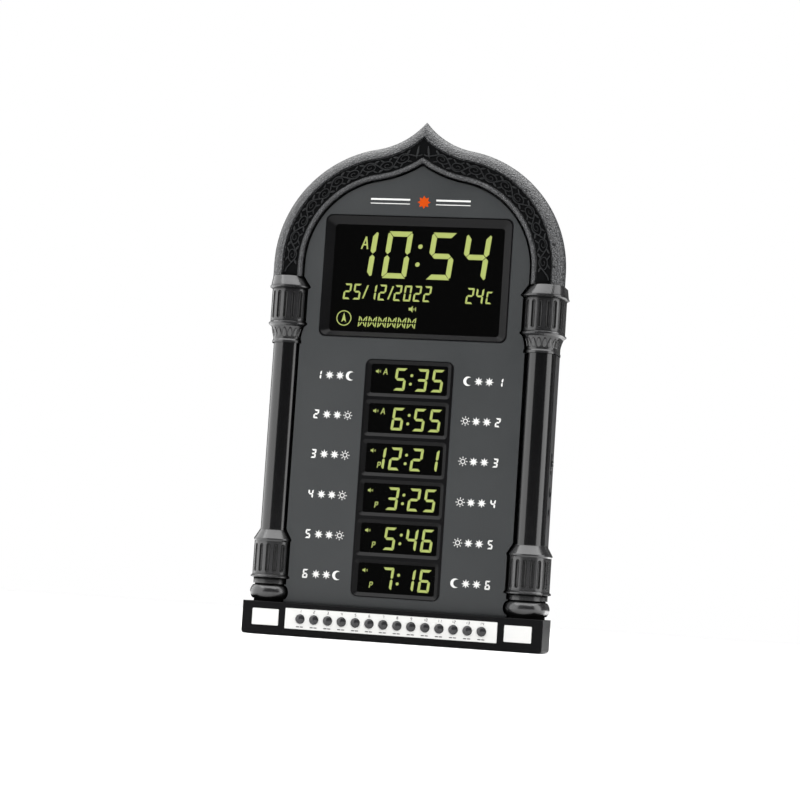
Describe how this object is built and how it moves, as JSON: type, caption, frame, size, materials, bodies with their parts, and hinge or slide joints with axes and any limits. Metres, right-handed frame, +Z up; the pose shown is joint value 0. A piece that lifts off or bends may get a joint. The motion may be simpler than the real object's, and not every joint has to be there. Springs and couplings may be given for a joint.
{
  "type": "digital arch clock",
  "caption": "Arched gateway-shaped digital clock with columns, a main display, smaller time displays, push buttons and a battery bay.",
  "frame": {"origin": "centre of the bounding box at its base, on the surface that the clock stands on", "axes": "+Z up, front towards -Y, +X to the viewer's right"},
  "size_m": [0.2252, 0.0368, 0.388],
  "materials": {
    "case": "fine textured moulding",
    "panel": "matte slate",
    "arch": "pebbled moulding with a dark carved band",
    "column": "polished black",
    "capital": "satin grey moulding",
    "plinth": "satin black",
    "white_trim": "satin white",
    "button": "satin domed cap",
    "bezel": "gloss black",
    "lens": "clear window",
    "lcd": "dark liquid crystal cell",
    "backlight": "milky light guide",
    "board": "printed circuit laminate",
    "components": "moulded packages",
    "connector": "striped elastomer",
    "steel": "zinc plated",
    "speaker_steel": "stamped basket",
    "speaker_cone": "pressed paper",
    "magnet": "ferrite",
    "cell": "plain sleeved can",
    "contact": "nickel plated spring",
    "control": "moulded"
  },
  "bodies": {
    "clock": {"front_case": "case", "arch_moulding": "arch", "face_panel": "panel", "right_capital": "capital", "left_capital": "capital", "right_column_shaft": "column", "left_column_shaft": "column", "right_pedestal": "capital", "left_pedestal": "capital", "base_housing": "plinth", "button_strip": "white_trim", "right_plate": "white_trim", "left_plate": "white_trim", "tact_switches": "control", "button_board": "board", "main_bezel": "bezel", "times_bezel": "bezel", "main_lens": "lens", "main_lcd": "lcd", "main_backlight": "backlight", "times_lens": "lens", "times_lcds": "lcd", "times_backlights": "backlight", "lcd_connectors": "connector", "main_board": "board", "times_board": "board", "board_components": "components", "board_screws": "steel", "speaker_basket": "speaker_steel", "speaker_cone": "speaker_cone", "speaker_magnet": "magnet", "rear_cover": "case", "cover_screws": "steel", "battery_box": "case", "battery_cells": "cell", "battery_contacts": "contact", "volume_control": "control", "slide_switch_body": "control", "dc_jack": "control"},
    "button_01": {"button_01": "button"},
    "button_02": {"button_02": "button"},
    "button_03": {"button_03": "button"},
    "button_04": {"button_04": "button"},
    "button_05": {"button_05": "button"},
    "button_06": {"button_06": "button"},
    "button_07": {"button_07": "button"},
    "button_08": {"button_08": "button"},
    "button_09": {"button_09": "button"},
    "button_10": {"button_10": "button"},
    "button_11": {"button_11": "button"},
    "button_12": {"button_12": "button"},
    "button_13": {"button_13": "button"},
    "button_14": {"button_14": "button"},
    "battery_door": {"battery_door": "case"},
    "volume_wheel": {"volume_wheel": "control"},
    "slide_switch_knob": {"slide_switch_knob": "control"}
  },
  "joints": [
    {"name": "button_01_press", "type": "slide", "parent": "clock", "child": "button_01", "axis": [0, 1, 0], "range_m": [0, 0.0008], "stiffness_N_per_m": 600, "springref_m": -0.0008},
    {"name": "button_02_press", "type": "slide", "parent": "clock", "child": "button_02", "axis": [0, 1, 0], "range_m": [0, 0.0008], "stiffness_N_per_m": 600, "springref_m": -0.0008},
    {"name": "button_03_press", "type": "slide", "parent": "clock", "child": "button_03", "axis": [0, 1, 0], "range_m": [0, 0.0008], "stiffness_N_per_m": 600, "springref_m": -0.0008},
    {"name": "button_04_press", "type": "slide", "parent": "clock", "child": "button_04", "axis": [0, 1, 0], "range_m": [0, 0.0008], "stiffness_N_per_m": 600, "springref_m": -0.0008},
    {"name": "button_05_press", "type": "slide", "parent": "clock", "child": "button_05", "axis": [0, 1, 0], "range_m": [0, 0.0008], "stiffness_N_per_m": 600, "springref_m": -0.0008},
    {"name": "button_06_press", "type": "slide", "parent": "clock", "child": "button_06", "axis": [0, 1, 0], "range_m": [0, 0.0008], "stiffness_N_per_m": 600, "springref_m": -0.0008},
    {"name": "button_07_press", "type": "slide", "parent": "clock", "child": "button_07", "axis": [0, 1, 0], "range_m": [0, 0.0008], "stiffness_N_per_m": 600, "springref_m": -0.0008},
    {"name": "button_08_press", "type": "slide", "parent": "clock", "child": "button_08", "axis": [0, 1, 0], "range_m": [0, 0.0008], "stiffness_N_per_m": 600, "springref_m": -0.0008},
    {"name": "button_09_press", "type": "slide", "parent": "clock", "child": "button_09", "axis": [0, 1, 0], "range_m": [0, 0.0008], "stiffness_N_per_m": 600, "springref_m": -0.0008},
    {"name": "button_10_press", "type": "slide", "parent": "clock", "child": "button_10", "axis": [0, 1, 0], "range_m": [0, 0.0008], "stiffness_N_per_m": 600, "springref_m": -0.0008},
    {"name": "button_11_press", "type": "slide", "parent": "clock", "child": "button_11", "axis": [0, 1, 0], "range_m": [0, 0.0008], "stiffness_N_per_m": 600, "springref_m": -0.0008},
    {"name": "button_12_press", "type": "slide", "parent": "clock", "child": "button_12", "axis": [0, 1, 0], "range_m": [0, 0.0008], "stiffness_N_per_m": 600, "springref_m": -0.0008},
    {"name": "button_13_press", "type": "slide", "parent": "clock", "child": "button_13", "axis": [0, 1, 0], "range_m": [0, 0.0008], "stiffness_N_per_m": 600, "springref_m": -0.0008},
    {"name": "button_14_press", "type": "slide", "parent": "clock", "child": "button_14", "axis": [0, 1, 0], "range_m": [0, 0.0008], "stiffness_N_per_m": 600, "springref_m": -0.0008},
    {"name": "battery_door_lift", "type": "slide", "parent": "clock", "child": "battery_door", "axis": [0, 1, 0], "range_m": [0, 0.03]},
    {"name": "volume_wheel_turn", "type": "hinge", "parent": "clock", "child": "volume_wheel", "pos_m": [0.1, 0.00855, 0.138], "axis": [0, 1, 0], "range_deg": [-135, 135]},
    {"name": "slide_switch_travel", "type": "slide", "parent": "clock", "child": "slide_switch_knob", "axis": [0, 0, 1], "range_m": [0, 0.003]}
  ]
}
